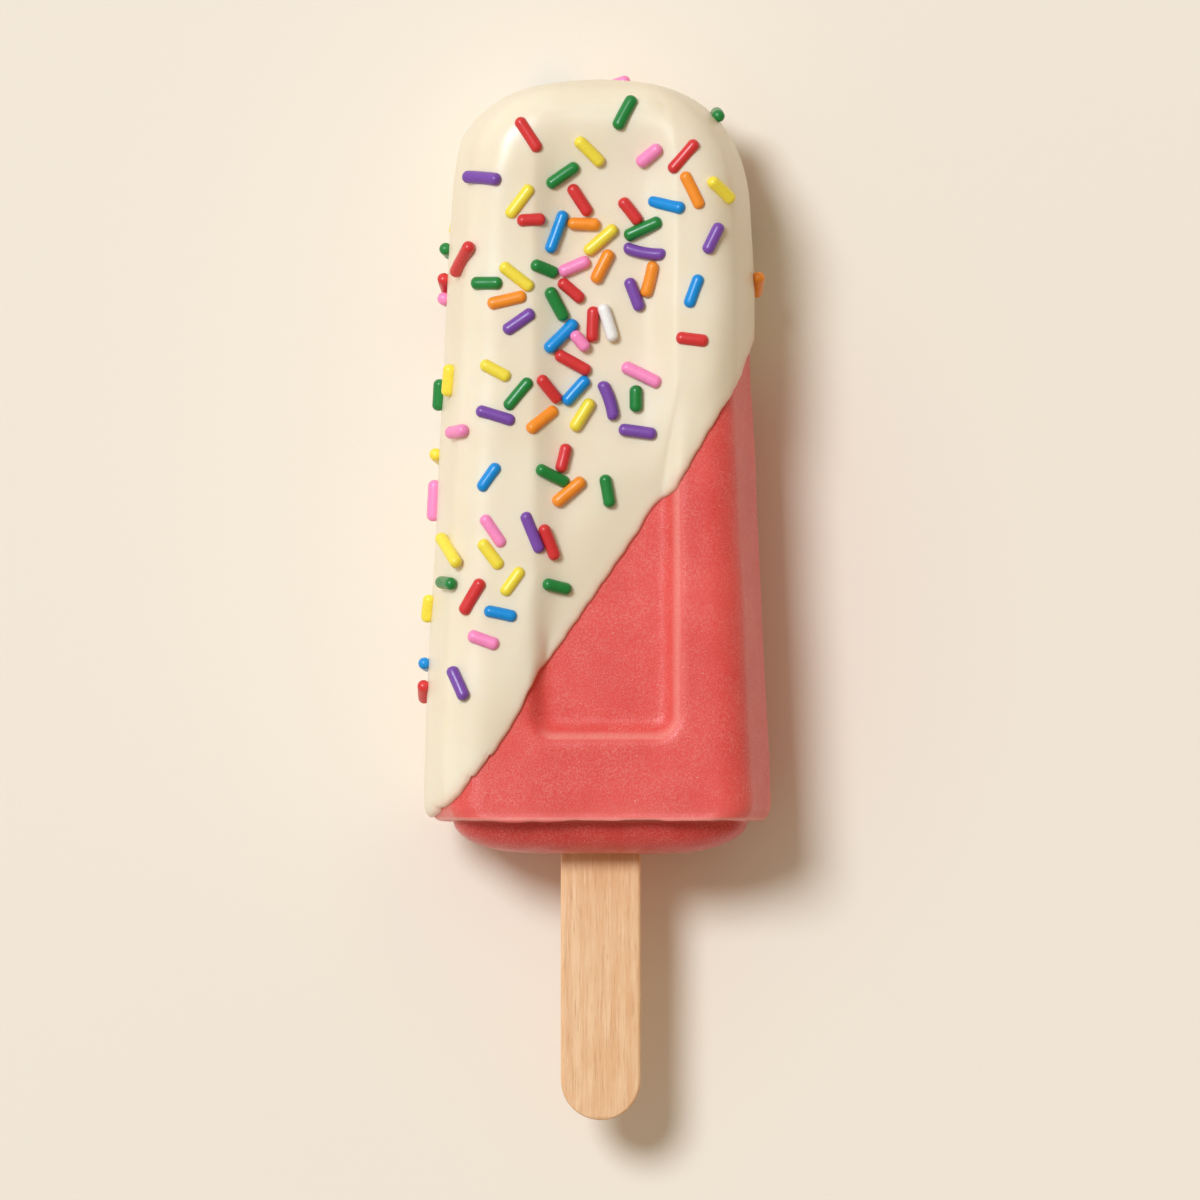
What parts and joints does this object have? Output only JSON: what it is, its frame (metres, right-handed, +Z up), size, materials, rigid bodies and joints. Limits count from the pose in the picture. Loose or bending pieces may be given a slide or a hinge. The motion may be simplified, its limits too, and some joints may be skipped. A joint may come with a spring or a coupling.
{
  "type": "ice pop",
  "caption": "Tapered fruit sorbet bar with a panelled face on a flat wooden stick, dipped slantwise in white chocolate with sugar sprinkles; lies on its back.",
  "frame": {"origin": "on the surface that the pop lies on, under the centre of the box around bar, coating and stick", "axes": "+Y along the bar from the stick to the rounded tip, +Z up out of the face that shows, +X to the right when looking down with the tip away"},
  "size_m": [0.0441, 0.1302, 0.0246],
  "materials": {
    "sorbet": "frozen red fruit sorbet, finely frosted",
    "white_chocolate": "smooth satin white chocolate",
    "birch": "plain sanded birch, unprinted",
    "sprinkle_red": "sugar sprinkle, satin",
    "sprinkle_orange": "sugar sprinkle, satin",
    "sprinkle_yellow": "sugar sprinkle, satin",
    "sprinkle_green": "sugar sprinkle, satin",
    "sprinkle_blue": "sugar sprinkle, satin",
    "sprinkle_purple": "sugar sprinkle, satin",
    "sprinkle_pink": "sugar sprinkle, satin",
    "sprinkle_white": "sugar sprinkle, satin"
  },
  "bodies": {
    "root": {"sorbet": "sorbet", "coating": "white_chocolate", "stick": "birch"}
  },
  "joints": []
}
